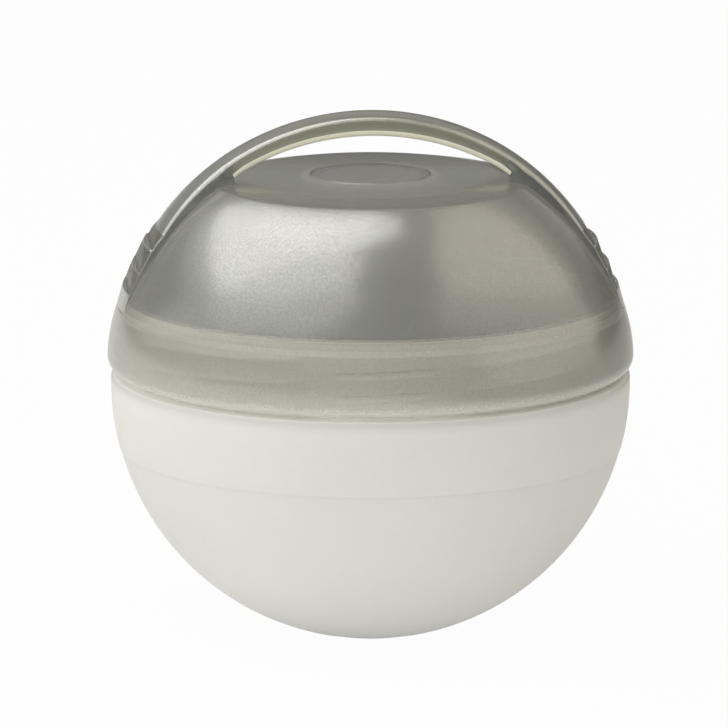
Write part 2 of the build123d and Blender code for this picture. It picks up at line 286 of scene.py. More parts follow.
def ranged(nt, socket, a, b, c, d):
    m = nt.nodes.new("ShaderNodeMapRange")
    m.inputs["From Min"].default_value = a
    m.inputs["From Max"].default_value = b
    m.inputs["To Min"].default_value = c
    m.inputs["To Max"].default_value = d
    nt.links.new(socket, m.inputs["Value"])
    return m.outputs[0]


def maths(nt, op, a, b=None):
    m = nt.nodes.new("ShaderNodeMath")
    m.operation = op
    for k, v in enumerate((a, b)):
        if v is None:
            continue
        if isinstance(v, (int, float)):
            m.inputs[k].default_value = v
        else:
            nt.links.new(v, m.inputs[k])
    return m.outputs[0]


def mix_rgb(nt, fac, a, b):
    m = nt.nodes.new("ShaderNodeMix")
    m.data_type = "RGBA"
    for k, v in ((0, fac), (6, a), (7, b)):
        if isinstance(v, (int, float, tuple)):
            m.inputs[k].default_value = v
        else:
            nt.links.new(v, m.inputs[k])
    return m.outputs[2]


def bump(nt, height, distance, strength=1.0, under=None):
    b = nt.nodes.new("ShaderNodeBump")
    b.inputs["Distance"].default_value = distance
    b.inputs["Strength"].default_value = strength
    nt.links.new(height, b.inputs["Height"])
    if under is not None:
        nt.links.new(under, b.inputs["Normal"])
    return b.outputs[0]


def height_z(nt, coord):
    s = nt.nodes.new("ShaderNodeSeparateXYZ")
    nt.links.new(coord.outputs["Object"], s.inputs[0])
    return s


# ------------------------------------------------------------------- materials
def white_plastic(name, tint=(0.83, 0.828, 0.80), rough=0.4, peel=0.00002, foot_wear=False, sss=0.12, shoulder=None):
    mat, nt, p, out, co = nodes_of(name)
    cloud = noise_tex(nt, co, 26.0, 3.0)
    speck = noise_tex(nt, co, 900.0, 2.0)
    shade = maths(nt, "ADD", maths(nt, "MULTIPLY", cloud, 0.7), maths(nt, "MULTIPLY", speck, 0.3))
    dark = tuple(c * 0.975 for c in tint) + (1.0,)
    lite = tuple(min(1.0, c * 1.02) for c in tint) + (1.0,)
    colour = mix_rgb(nt, ranged(nt, shade, 0.3, 0.7, 0.0, 1.0), dark, lite)
    ro = ranged(nt, noise_tex(nt, co, 60.0, 4.0, 0.6), 0.25, 0.75, rough - 0.05, rough + 0.06)
    if shoulder:
        # painted shadow: the collar's colour is darkened just under the lid's overhanging edge, where the lid shades
        # it
        s = height_z(nt, co)
        lid_shadow_mask = ranged(nt, s.outputs["Z"], shoulder - 0.0028, shoulder - 0.0002, 0.0, 1.0)
        lid_shadow_mask = maths(nt, "MULTIPLY", lid_shadow_mask, lid_shadow_mask)
        lid_shadow_mask = maths(nt, "MULTIPLY", lid_shadow_mask, ranged(nt, s.outputs["Z"], shoulder - 0.0002, shoulder - 0.00005, 1.0, 0.0))
        colour = mix_rgb(nt, maths(nt, "MULTIPLY", lid_shadow_mask, 0.9), colour, tuple(c * 0.74 for c in tint) + (1.0,))
        # painted light: the shoulder's top face is painted lighter, to brighten the dark gap under the lid's edge
        colour = mix_rgb(nt, ranged(nt, s.outputs["Z"], shoulder - 0.0001, shoulder, 0.0, 0.4), colour, (0.92, 0.915, 0.89, 1.0))
    if foot_wear:
        s = height_z(nt, co)
        low = ranged(nt, s.outputs["Z"], 0.0, 0.0012, 1.0, 0.0)
        scuff = maths(nt, "MULTIPLY", low, ranged(nt, noise_tex(nt, co, 700.0, 5.0, 0.7), 0.45, 0.6, 0.0, 1.0))
        colour = mix_rgb(nt, maths(nt, "MULTIPLY", scuff, 0.35), colour, (0.62, 0.61, 0.58, 1.0))
        ro = maths(nt, "ADD", ro, maths(nt, "MULTIPLY", scuff, 0.2))
    nt.links.new(colour, p.inputs["Base Color"])
    nt.links.new(ro, p.inputs["Roughness"])
    p.inputs["IOR"].default_value = 1.49
    p.inputs["Subsurface Weight"].default_value = sss
    p.inputs["Subsurface Radius"].default_value = (1.0, 0.92, 0.78)
    p.inputs["Subsurface Scale"].default_value = 0.0016
    wave = bump(nt, noise_tex(nt, co, 95.0, 2.0), 0.00005, 0.6)
    fine = bump(nt, noise_tex(nt, co, 1500.0, 2.0), peel, 0.8, wave)
    nt.links.new(fine, p.inputs["Normal"])
    return mat


def pearl_clear(name, metal=(0.06, 0.2), rough=0.17, tint=(0.985, 0.988, 0.955), coat=0.6, grain=1.0, clear=0.84, ior=1.47, rim=None):
    """Clear tinted plastic with fine pearl flakes in it."""
    mat, nt, p, out, co = nodes_of(name)
    flecks = noise_tex(nt, co, 2700.0, 1.0, 0.6)
    specks = noise_tex(nt, co, 4300.0, 1.0, 0.7)
    flake = maths(nt, "ADD", maths(nt, "MULTIPLY", flecks, 0.6), maths(nt, "MULTIPLY", specks, 0.4))
    nt.links.new(ranged(nt, flake, 0.34, 0.66, metal[0], metal[1]), p.inputs["Metallic"])
    cloud = noise_tex(nt, co, 22.0, 3.0)
    soft = mix_rgb(nt, ranged(nt, cloud, 0.3, 0.7, 0.0, 1.0), tuple(c * 0.985 for c in tint) + (1.0,), tint + (1.0,))
    dark = tuple(c * (1.0 - 0.19 * grain) for c in tint) + (1.0,)
    colour = mix_rgb(nt, ranged(nt, flake, 0.36, 0.64, 0.0, 1.0), dark, soft)
    nt.links.new(colour, p.inputs["Base Color"])
    ro = ranged(nt, noise_tex(nt, co, 70.0, 4.0, 0.6), 0.25, 0.75, rough - 0.01, rough + 0.015)
    nt.links.new(ro, p.inputs["Roughness"])
    p.inputs["IOR"].default_value = ior
    haze = ranged(nt, specks, 0.3, 0.7, clear - 0.06 * grain, min(1.0, clear + 0.06 * grain))
    p.inputs["Coat Weight"].default_value = coat
    p.inputs["Coat Roughness"].default_value = 0.06
    p.inputs["Coat IOR"].default_value = 1.47
    wave = bump(nt, noise_tex(nt, co, 45.0, 1.0), 0.00002, 0.4)
    nt.links.new(wave, p.inputs["Normal"])
    nt.links.new(wave, p.inputs["Coat Normal"])
    if rim:
        # the lid's lower edge is milkier, where the moulding ends
        s = height_z(nt, co)
        haze = maths(nt, "MULTIPLY", haze, ranged(nt, s.outputs["Z"], rim[0], rim[1], rim[2], 1.0))
    nt.links.new(haze, p.inputs["Transmission Weight"])
    v = nt.nodes.new("ShaderNodeVolumeAbsorption")
    v.inputs["Color"].default_value = (0.37, 0.373, 0.155, 1.0)
    v.inputs["Density"].default_value = 100.0
    nt.links.new(v.outputs[0], out.inputs["Volume"])
    return mat


def silicone_mat():
    mat, nt, p, out, co = nodes_of("seal_silicone")
    cloud = noise_tex(nt, co, 180.0, 3.0)
    colour = mix_rgb(nt, cloud, (0.70, 0.71, 0.69, 1.0), (0.78, 0.79, 0.77, 1.0))
    nt.links.new(colour, p.inputs["Base Color"])
    nt.links.new(ranged(nt, cloud, 0.3, 0.7, 0.42, 0.55), p.inputs["Roughness"])
    p.inputs["Subsurface Weight"].default_value = 0.3
    p.inputs["Subsurface Scale"].default_value = 0.001
    p.inputs["IOR"].default_value = 1.41
    nt.links.new(bump(nt, noise_tex(nt, co, 1300.0, 2.0), 0.00002), p.inputs["Normal"])
    return mat


shell_white = white_plastic("shell_white", foot_wear=True)
# the collar carries the painted shadow under the lid's edge and the painted lighter shoulder top
collar_white = white_plastic("collar_white", tint=(0.85, 0.848, 0.81), rough=0.36, shoulder=SHOULDER_Z * MM)
insert_white = white_plastic("insert_white", tint=(0.82, 0.82, 0.80), rough=0.5, peel=0.00003)
EDGE_RIM = ((EDGE_Z + 0.7) * MM, (EDGE_Z + 2.4) * MM, 0.53)
dome_clear = pearl_clear("dome_pearl", metal=(0.18, 0.26), rough=0.23, coat=0.15, rim=EDGE_RIM)
dome_in = pearl_clear("dome_pearl_inside", metal=(0.0, 0.06), rough=0.2, coat=0.0, grain=0.3, clear=0.94)
skirt_clear = pearl_clear("skirt_pearl_inside", metal=(0.0, 0.04), rough=0.34, tint=(1.0, 0.965, 0.87), coat=0.0, grain=0.3, clear=0.74, rim=EDGE_RIM)
bow_clear = pearl_clear("bow_pearl", metal=(0.25, 0.34), rough=0.29, coat=0.35)
# painted shade: the bow's side and underside faces get a darker, bluer tint than its top, so the same plastic reads
# darker there
bow_side_painted_shade = pearl_clear("bow_pearl_sides_painted_shade", metal=(0.0, 0.05), rough=0.16, tint=(0.83, 0.845, 0.93), coat=0.2, grain=0.5, clear=0.93)
# painted light: the bow's underside edge fillets are an opaque cream colour, standing in for the bright light that
# comes through the clear bar there
bow_edge_painted_light = pearl_clear("bow_pearl_edge_painted_light", metal=(0.0, 0.04), rough=0.3, tint=(1.0, 0.98, 0.80), coat=0.2, grain=0.1, clear=0.0)
# painted shade: the flat faces of the finger steps are dark grey, standing in for the shade on them
bow_grip_painted_shade = pearl_clear("bow_pearl_grip_painted_shade", metal=(0.0, 0.05), rough=0.42, tint=(0.55, 0.55, 0.52), coat=0.0, grain=0.5, clear=0.9, ior=1.2)
# painted shade: the stem and post are tinted darker grey than the lid, standing in for the shade seen inside the stem
# tube
stem_clear = pearl_clear("stem_pearl", metal=(0.0, 0.04), rough=0.2, tint=(0.62, 0.62, 0.60), coat=0.0, grain=0.5, clear=0.93)
post_clear = pearl_clear("post_pearl", metal=(0.0, 0.06), rough=0.25, tint=(0.7, 0.7, 0.68), coat=0.1, grain=0.5, clear=0.93)
seal_soft = silicone_mat()

# ------------------------------------------------------------------ lower bowl
split_r = math.sqrt(BALL_R**2 - (SPLIT_Z - BALL_Z) ** 2)
cav_split = math.sqrt(CAV_R**2 - (SPLIT_Z + 2 - CAV_Z) ** 2)
bowl_prof = rounded(
    [(0, 0.62), (1.1, 0.62, 0.12), (1.25, 0.5, 0.1), (5.7, 0.5, 0.2), (6.2, 0.0, 0.18), (9.95, 0.0, 0.35)]
    + ball_arc(BALL_R, BALL_Z, 1.15, SPLIT_Z, 1.3, (0.0, 0.05))
    + [(TONGUE_R, SPLIT_Z, 0.1), (TONGUE_R, SPLIT_Z + 1.6, 0.1), (TONGUE_R - 0.4, SPLIT_Z + 2, 0.1), (cav_split, SPLIT_Z + 2, 0.25)]
    + ball_arc(CAV_R, CAV_Z, SPLIT_Z + 1.6, CAV_Z - CAV_R + 0.02, 1.5)[1:]
    + [(0, CAV_Z - CAV_R)]
)
bowl = lathe("bowl_shell", bowl_prof, even(360), closed=False)
bowl.data.materials.append(shell_white)
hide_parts("bowl_lower")
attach(bowl, "base")


# ------------------------------------------------------------------ neck collar
def rib(dz, half_root, half_crest):
    a = abs(dz)
    return 1.0 - smooth(half_crest - 0.06, half_root + 0.06, a)


def thread_height(deg, z):
    best = 0.0
    for sector in range(4):
        mid = GAP_DIR + 90 * sector - 45
        d = (deg - mid + 180) % 360 - 180
        win = 1.0 - smooth(24.6, 26.2, abs(d))
        if win > 0:
            for row in THREAD_ROWS:
                zc = row + 47.5 * math.sin(math.radians(d)) * SLOPE
                best = max(best, 0.9 * win * rib(z - zc, 0.58, 0.3))
        s = (deg - (GAP_DIR + 90 * sector - 49.5) + 180) % 360 - 180
        stop = smooth(-0.1, 0.35, s) * (1 - smooth(2.05, 2.5, s))
        if stop > 0:
            best = max(best, 0.8 * stop * smooth(53.55, 53.95, z) * (1 - smooth(56.5, 56.85, z)))
    return best


def neck_place(i, r, z, deg):
    if r > 46.9 and SHOULDER_Z + 0.25 < z < NECK_TOP - 0.05 and r < 47.6:
        h = thread_height(deg, z)
        return r + h, z, deg
    return r, z, deg


band_r = math.sqrt(COLLAR_R**2 - (SPLIT_Z - BALL_Z) ** 2)
neck_prof = rounded(
    [(TONGUE_R + 0.05, SPLIT_Z, 0.08), (split_r + 0.04, SPLIT_Z, 0.05)]
    + ball_arc(COLLAR_R, BALL_Z, SPLIT_Z + 0.6, BALL_Z, 1.3)
    + [(COLLAR_R, 49.4), (COLLAR_R, SHOULDER_Z, 0.75), (NECK_R, SHOULDER_Z, 0.5), (NECK_R, 51.6)]
    + dense((NECK_R, 51.7), (NECK_R, 64.0), 0.125)
    + [(NECK_R, NECK_TOP, 0.6), (NECK_BORE, NECK_TOP, 0.5), (NECK_BORE, 51.0, 1.0), (COLLAR_BORE, 48.4, 1.0)]
    + [(COLLAR_BORE, 44.5, 0.1), (COLLAR_BORE - 0.3, 44.1, 0.15), (COLLAR_BORE, 43.7, 0.1)]
    + [(COLLAR_BORE, SPLIT_Z + 2.05, 0.15), (TONGUE_R + 0.05, SPLIT_Z + 2.05, 0.1)],
    closed=True,
    n=5,
)
neck = lathe("neck_ring", neck_prof, even(480), closed=True, place=neck_place)
neck.data.materials.append(collar_white)
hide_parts("neck_collar")
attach(neck, "base")

# -------------------------------------------------------------------- lid seal
seal_prof = rounded(
    [(45.15, 64.85, 0.12), (46.45, 64.85, 0.2), (46.75, 65.15, 0.15), (46.75, 65.4, 0.12), (46.5, 65.62, 0.12), (45.1, 65.62, 0.15), (44.9, 65.45, 0.12), (44.9, 65.05, 0.15)],
    closed=True,
)
seal = lathe("rim_seal", seal_prof, even(300))
seal.data.materials.append(seal_soft)
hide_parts("lid_seal")
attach(seal, "seal")


# -------------------------------------------------------------------- lid dome
def dome_r(z):
    return math.sqrt(max(0.0, DOME_R**2 - (z - DOME_Z) ** 2))


edge_r = dome_r(65.2)
crown_r = 30.4
crown_z = DOME_Z + math.sqrt(DOME_R**2 - crown_r**2)
ledge_r = math.sqrt(DOME_IN**2 - (65.72 - DOME_Z) ** 2)
vault_r = 28.4
vault_z = DOME_Z + math.sqrt(DOME_IN**2 - vault_r**2)
SEAT_FOOT = FOOT_Z - 0.05
skirt_fine = circle_arc((50.8, 54.9), (50.12, 60.0), (edge_r, 65.2), 1200)
seat_rows = [SEAT_FOOT + d for d in (-0.6, -0.3, -0.16, -0.08, -0.02, 0.03, 0.1, 0.2, 0.4)]


def skirt_r(z):
    return min(skirt_fine, key=lambda p: abs(p[1] - z))[0]


outer = [(48.5, EDGE_Z, 0.12), (48.95, EDGE_Z, 0.15)]
outer += circle_arc((48.95, EDGE_Z), (50.28, 52.75), (50.8, 54.9), 9)[1:]
for z in sorted([55.6 + 0.7 * k for k in range(12)] + seat_rows + [64.95]):
    outer.append((skirt_r(z), z))
dome_pts = ball_arc(DOME_R, DOME_Z, 65.2, crown_z, 0.9, (0.0, 0.9))
outer += dome_pts
inner = [
    (vault_r, vault_z, 1.2),
]
top = [(r, crown_z + (89.3 - crown_z) * (crown_r - r) / (crown_r - 25.0)) for r in (29.5, 28.6, 27.7, 26.95, 26.74, 26.65, 26.4)]
top += [(25.0, 89.3, 1.0), (13.0, 89.7), (11.95, 89.72, 0.12), (11.65, 89.62, 0.1), (11.65, 88.6), (11.65, CEILING_Z, 0.12), (23.5, CEILING_Z, 1.5)]
vault = ball_arc(DOME_IN, DOME_Z, vault_z, 65.72, 1.2, (1.0, 0.15))
skirt_in = [(47.3, 65.72, 0.15), (47.3, 63.9, 0.12), (WALL_R, 63.0, 0.2)]
skirt_rows = dense((WALL_R, 62.3), (WALL_R, 52.9), 0.14)
dome_prof = rounded(outer + top + vault + skirt_in + skirt_rows + [(WALL_R, EDGE_Z + 0.6, 0.1)], closed=True, n=5)


def lug_height(deg, z):
    best = 0.0
    for sector in range(4):
        mid = GAP_DIR + 90 * sector
        d = (deg - mid + 180) % 360 - 180
        win = 1.0 - smooth(9.6, 12.6, abs(d))
        if win > 0:
            for row in LUG_ROWS:
                zc = row + 47.8 * math.sin(math.radians(d)) * SLOPE
                best = max(best, 0.4 * win * rib(z - zc, 0.8, 0.1))
    return best


SEAT_U = 14.5


SEAT_TOP_R = 29.5
SEAT_TOP_Z = SEAT_Z + math.sqrt(SEAT_R**2 - SEAT_TOP_R**2)


def seat_line(r):
    """Height of the seat's flat end in the lid's top."""
    return SEAT_TOP_Z + (89.0 - SEAT_TOP_Z) * (SEAT_TOP_R - r) / (SEAT_TOP_R - 24.0)


def seat_depth_point(r, z):
    """The seat's floor under the dome's outer surface, towards the dome's centre."""
    if r < SEAT_TOP_R:
        return r, seat_line(r)
    phi = math.atan2(r, z - DOME_Z)
    rho = -math.cos(phi) + math.sqrt(SEAT_R**2 - math.sin(phi) ** 2)
    rr, zz = rho * math.sin(phi), DOME_Z + rho * math.cos(phi)
    return rr, min(zz, seat_line(rr))


def dome_place(i, r, z, u):
    q = u % 360
    side = q if q <= 90 else 180 - q if q <= 180 else q - 180 if q <= 270 else 360 - q
    outer_face = z > 63.5 and (math.hypot(r, z - DOME_Z) > 51.6 or (z > 87.9 and r > 24.0))
    deg = u
    if outer_face and r > 20:
        w = half_width(z) + 0.05
        tb = math.degrees(math.asin(min(0.95, w / r)))
        if side <= SEAT_U:
            new = side * tb / SEAT_U
        elif side < 34.0:
            new = tb + (side - SEAT_U) * (34.0 - tb) / (34.0 - SEAT_U)
        else:
            new = side
        deg = new if q <= 90 else 180 - new if q <= 180 else 180 + new if q <= 270 else 360 - new
        s = (1.0 - smooth(SEAT_U - 0.14, SEAT_U + 0.02, side)) * smooth(SEAT_FOOT - 0.03, SEAT_FOOT + 0.08, z)
        s *= smooth(BOW_END - 0.09, BOW_END - 0.02, r)
        if s > 0:
            rr, zz = seat_depth_point(r, z)
            return r + (rr - r) * s, z + (zz - z) * s, deg
        return r, z, deg
    if abs(r - WALL_R) < 0.02 and 53.0 < z < 62.4:
        return r - lug_height(u, z), z, u
    return r, z, u


cluster = [-0.9, -0.5, -0.3, -0.2, -0.14, -0.07, 0.0, 0.07, 0.16, 0.3, 0.6, 1.0]
cols = set()
for k in range(360):
    side = k if k <= 90 else 180 - k if k <= 180 else k - 180 if k <= 270 else 360 - k
    if abs(side - SEAT_U) > 1.3:
        cols.add(float(k))
for c in cluster:
    for base, sign in ((0, 1), (180, -1), (180, 1), (360, -1)):
        cols.add(round((base + sign * (SEAT_U + c)) % 360, 4))
dome = lathe("lid_shell", dome_prof, sorted(cols), closed=True, place=dome_place)
dome.data.materials.append(dome_clear)
outside_slot(dome, DOME_Z, 0.05, dome_in)
dome.data.materials.append(skirt_clear)
for p in dome.data.polygons:
    if p.material_index == 1 and p.center.z < 0.0655 and math.hypot(p.center.x, p.center.y) < 0.0486:
        p.material_index = 2
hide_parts("lid_dome")
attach(dome, "lid")
dome.visible_shadow = False

# ------------------------------------------------------------------ lid handle
sphere_r = lambda z: math.sqrt(max(0.0, BOW_R**2 - (z - BOW_Z) ** 2))
FAR = 99.0


def rim_r(z):
    """Radius of the grip's outer surface before the finger steps are cut."""
    if z >= RIMS[-1][1]:
        return sphere_r(z)
    zs = [p[1] for p in RIMS]
    return float(np.interp(z, zs, [p[0] for p in RIMS]))


def step_cap(k, z):
    """How far out the step's flat face lies at the height z."""
    (r0, z0), (r1, z1) = RIMS[k], RIMS[k + 1]
    a, b = r0 - STEP_DEPTH[k - 1], r1
    return a + (b - a) * (z - z0) / (z1 - z0)


bow_prof = [(rim_r(z), z, FAR) for z in (64.42, 64.8, 65.4, 66.2, 67.0, 67.6, 67.9)]
for k in (1, 2, 3):
    r0, z0 = RIMS[k]
    cap0 = step_cap(k, z0)
    bow_prof += [(rim_r(z0 - 0.12), z0 - 0.12, FAR), (rim_r(z0) - 0.03, z0 - 0.03, FAR), (rim_r(z0) - 0.1, z0, FAR)]
    bow_prof += [(rim_r(z0), z0 + 0.001, cap0 + 0.28), (rim_r(z0), z0 + 0.02, cap0 + 0.08), (rim_r(z0 + 0.1), z0 + 0.1, cap0)]
    z1 = RIMS[k + 1][1]
    for t in (0.08, 0.16, 0.28, 0.4, 0.52, 0.64, 0.76, 0.86, 0.93):
        z = z0 + (z1 - z0) * t
        bow_prof.append((rim_r(z), z, step_cap(k, z)))
bow_prof += [(sphere_r(z), z, FAR) for z in (79.8, 80.2, 80.7, 81.4, 82.2, 83.1, 84.0)]
phi0 = math.atan2(sphere_r(84.0), 84.0 - BOW_Z)
SEAT_PHI = math.atan2(BOW_END, seat_line(BOW_END) + 0.055 - BOW_Z)
ROUND_R = BOW_END - END_ROUND
ROUND_Z = BOW_IN_Z + math.sqrt((BOW_IN - END_ROUND) ** 2 - ROUND_R**2)
END_PHI = math.atan2(BOW_END, ROUND_Z - BOW_Z)
ARC_PHI = math.atan2(BOW_IN * ROUND_R / (BOW_IN - END_ROUND), BOW_IN_Z + BOW_IN * (ROUND_Z - BOW_IN_Z) / (BOW_IN - END_ROUND) - BOW_Z)
turns = [phi0 * (1 - k / 60) for k in range(1, 61)] + [SEAT_PHI + 0.002, SEAT_PHI, (SEAT_PHI + END_PHI) / 2]
turns = [a for a in turns if not ARC_PHI < a < END_PHI]
turns += [END_PHI + (ARC_PHI - END_PHI) * k / 8 for k in range(9)]
for a in sorted(turns, reverse=True):
    bow_prof.append((BOW_R * math.sin(a), BOW_Z + BOW_R * math.cos(a), FAR))


def inner_rho(phi):
    """Distance from the bow's centre to its underside in the direction phi."""
    if phi <= ARC_PHI:
        dz = BOW_Z - BOW_IN_Z
        return -dz * math.cos(phi) + math.sqrt(BOW_IN**2 - (dz * math.sin(phi)) ** 2)
    if phi < END_PHI:
        b = ROUND_R * math.sin(phi) + (ROUND_Z - BOW_Z) * math.cos(phi)
        return b + math.sqrt(max(0.0, b * b - ROUND_R**2 - (ROUND_Z - BOW_Z) ** 2 + END_ROUND**2))
    if phi < SEAT_PHI:
        return BOW_END / math.sin(phi)
    dz = BOW_Z - SEAT_Z
    ball = -dz * math.cos(phi) + math.sqrt((SEAT_R + 0.05) ** 2 - (dz * math.sin(phi)) ** 2)
    slope = (89.0 - SEAT_TOP_Z) / (SEAT_TOP_R - 24.0)
    flat = (SEAT_TOP_Z + 0.055 + SEAT_TOP_R * slope - BOW_Z) / (math.cos(phi) + slope * math.sin(phi))
    return min(ball, flat)


def on_turned(r, z, y):
    """The point at y on the surface turned about Z through (r, z)."""
    big = math.hypot(r, z - BOW_Z)
    phi = math.atan2(r, z - BOW_Z)
    flat = math.sqrt(max(0.0, big**2 - y * y))
    bx, bz = flat * math.sin(phi), flat * math.cos(phi)
    beta = smooth(80.0, 92.0, z)
    if beta < 1:
        ax, az = math.sqrt(max(0.0, r * r - y * y)), z - BOW_Z
        bx, bz = ax + (bx - ax) * beta, az + (bz - az) * beta
        s = flat / math.hypot(bx, bz)
        bx, bz = bx * s, bz * s
    return Vector((bx, y, BOW_Z + bz))


def bow_ring(r, z, cap, inset=0.0):
    phi = math.atan2(r, z - BOW_Z)
    rho_o = math.hypot(r, z - BOW_Z)
    rho_i = min(inner_rho(phi), rho_o - 0.3)
    ri, zi = rho_i * math.sin(phi), BOW_Z + rho_i * math.cos(phi)
    w = half_width(z)
    for _ in range(3):
        w = half_width(on_turned(r, z, w).z)
    w -= inset
    t = rho_o - rho_i
    fo = min(0.2 + 1.35 * smooth(66.0, 84.0, z), 0.42 * t)
    fi = min(0.38 + 0.5 * smooth(END_PHI + 0.01, ARC_PHI - 0.05, phi), 0.42 * t)
    ring = []

    def put(y, tau):
        a, b = on_turned(ri, zi, y), on_turned(r, z, y)
        b.x = min(b.x, cap)
        ring.append(a + (b - a) * tau)

    if inset:
        lo_t, hi_t = inset / t, 1 - inset / t
    else:
        lo_t, hi_t = 0.0, 1.0
    n = 14
    for k in range(n + 1):
        put(-(w - fo) + 2 * (w - fo) * k / n, hi_t)
    for k in range(1, 7):
        a = math.pi / 2 * k / 6
        put(w - fo + fo * math.sin(a), hi_t - fo / t * (1 - math.cos(a)))
    for k in range(1, 4):
        s = k / 4
        put(w, (hi_t - fo / t) * (1 - s) + (lo_t + fi / t) * s)
    for k in range(0, 6):
        a = math.pi / 2 * k / 6
        put(w - fi + fi * math.cos(a), lo_t + fi / t * (1 - math.sin(a)))
    for k in range(n + 1):
        put((w - fi) - 2 * (w - fi) * k / n, lo_t)
    for k in range(1, 7):
        a = math.pi / 2 * k / 6
        put(-(w - fi + fi * math.sin(a)), lo_t + fi / t * (1 - math.cos(a)))
    for k in range(1, 4):
        s = k / 4
        put(-w, (lo_t + fi / t) * (1 - s) + (hi_t - fo / t) * s)
    for k in range(0, 6):
        a = math.pi / 2 * k / 6
        put(-(w - fo + fo * math.cos(a)), hi_t - fo / t * (1 - math.sin(a)))
    return ring


rows = []
foot = bow_ring(48.93, FOOT_Z + 0.12, FAR, 0.12)
rows.append([Vector((v.x, v.y, v.z - 0.12)) for v in foot])
for r, z, cap in bow_prof:
    rows.append(bow_ring(r, z, cap))
full = rows + [[Vector((-v.x, v.y, v.z)) for v in ring] for ring in reversed(rows[:-1])]
verts = [tuple(v) for ring in full for v in ring]
m = len(full[0])
faces = []
for i in range(len(full) - 1):
    for j in range(m):
        k = (j + 1) % m
        faces.append((i * m + j, i * m + k, (i + 1) * m + k, (i + 1) * m + j))
faces.append(tuple(range(m)))
faces.append(tuple((len(full) - 1) * m + j for j in range(m)))
bow = finish_mesh("carry_bow", verts, faces, sharp=50)
bow.data.materials.append(bow_clear)
# faces not facing out get the darker painted-shade copy of the bow's plastic
outside_slot(bow, BOW_Z, 0.55, bow_side_painted_shade)
bow.data.materials.append(bow_edge_painted_light)
bow.data.materials.append(bow_grip_painted_shade)
flat_of = [cap if cap < FAR else 0.0 for r, z, cap in bow_prof]
flat_of = [0.0] + flat_of
flat_of = flat_of + flat_of[-2::-1]
for p in bow.data.polygons:
    i, j = divmod(p.index, m)
    # flat step faces get the dark painted-shade grip material
    if i < len(full) - 1 and flat_of[i] and all(abs(abs(bow.data.vertices[v].co.x) - min(flat_of[i], flat_of[i + 1]) * MM) < 0.0014 for v in p.vertices) and (j <= 17 or j >= 57):
        p.material_index = 3
    # underside edge fillets get the cream painted-light material
    if i < len(full) - 1 and (23 <= j <= 27 or 46 <= j <= 50):
        c = p.center
        if math.atan2(math.hypot(c.x, c.y), c.z - BOW_Z * MM) < END_PHI:
            p.material_index = 2
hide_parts("lid_handle")
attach(bow, "lid")
bow.visible_shadow = False

# -------------------------------------------------------------------- lid stem
stem_prof = rounded(
    [
        (0, 89.72),
        (6.0, 89.72),
        (11.25, 89.68, 0.15),
        (11.6, 89.35, 0.15),
        (11.6, CEILING_Z, 0.06),
        (13.6, CEILING_Z, 0.15),
        (13.6, CEILING_Z - 1.4, 0.3),
        (13.2, CEILING_Z - 1.8, 0.3),
        (12.4, CEILING_Z - 1.8, 0.5),
        (11.6, CEILING_Z - 2.6, 0.6),
        (11.6, 64.5, 0.2),
        (11.2, 64.0, 0.15),
        (10.45, 64.0, 0.15),
        (9.95, 64.6, 0.3),
        (9.95, 87.2, 0.5),
        (9.15, 87.9, 0.5),
        (0, 87.9),
    ]
)
stem = lathe("stem_tube", stem_prof, even(180), closed=False)
stem.data.materials.append(stem_clear)
stem.data.materials.append(dome_clear)
for p in stem.data.polygons:
    if p.center.z > 0.0893:
        p.material_index = 1
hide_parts("lid_stem")
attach(stem, "lid")
stem.visible_shadow = False

# -------------------------------------------------- basket parts keep their CAD
# the post gets the darker painted-shade tint
for name, mat in (("soother_basket", insert_white), ("basket_post", post_clear)):
    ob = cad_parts[name]
    ob.data.materials.clear()
    ob.data.materials.append(mat)

# ----------------------------------------------------------------------- stage
def plane(name, corners, mat, camera=True, transmission=True, glossy=True, diffuse=True, shadow=True):
    me = bpy.data.meshes.new(name)
    me.from_pydata(corners, [], [tuple(range(len(corners)))])
    ob = bpy.data.objects.new(name, me)
    bpy.context.scene.collection.objects.link(ob)
    ob.data.materials.append(mat)
    ob.visible_camera = camera
    ob.visible_transmission = transmission
    ob.visible_glossy = glossy
    ob.visible_diffuse = diffuse
    ob.visible_shadow = shadow
    return ob


def emitter(name, colour, power, soft=0.12):
    """Even glow over the whole panel; soft is not used."""
    mat = bpy.data.materials.new(name)
    mat.use_nodes = True
    nt = mat.node_tree
    nt.nodes.clear()
    out = nt.nodes.new("ShaderNodeOutputMaterial")
    em = nt.nodes.new("ShaderNodeEmission")
    em.inputs["Color"].default_value = (*colour, 1.0)
    em.inputs["Strength"].default_value = power
    nt.links.new(em.outputs[0], out.inputs["Surface"])
    return mat


TURN = math.radians(-3.3)


def spun(x, y, z):
    """A stage point given in the camera's own direction, turned with the camera."""
    return (x * math.cos(TURN) - y * math.sin(TURN), x * math.sin(TURN) + y * math.cos(TURN), z)


def sky_patch(name, turns, mat, dist=2.4, glossy=True):
    """A softbox seen from the case in the given (azimuth, elevation) outline, degrees."""
    pts = []
    for az, el in turns:
        az, el = math.radians(az), math.radians(el)
        x, y, z = math.cos(el) * math.cos(az), math.cos(el) * math.sin(az), math.sin(el)
        pts.append(spun(x * dist, y * dist, 0.05 + z * dist))
    c = Vector((0, 0, 0))
    for q in pts:
        c += Vector(q)
    c = c / len(pts)
    c = (c - Vector((0, 0, 0.05))).normalized() * dist + Vector((0, 0, 0.05))
    me = bpy.data.meshes.new(name)
    n = len(pts)
    me.from_pydata(pts + [tuple(c)], [], [(k, (k + 1) % n, n) for k in range(n)])
    ob = bpy.data.objects.new(name, me)
    bpy.context.scene.collection.objects.link(ob)
    ob.data.materials.append(mat)
    ob.visible_camera = False
    ob.visible_glossy = glossy
    return ob


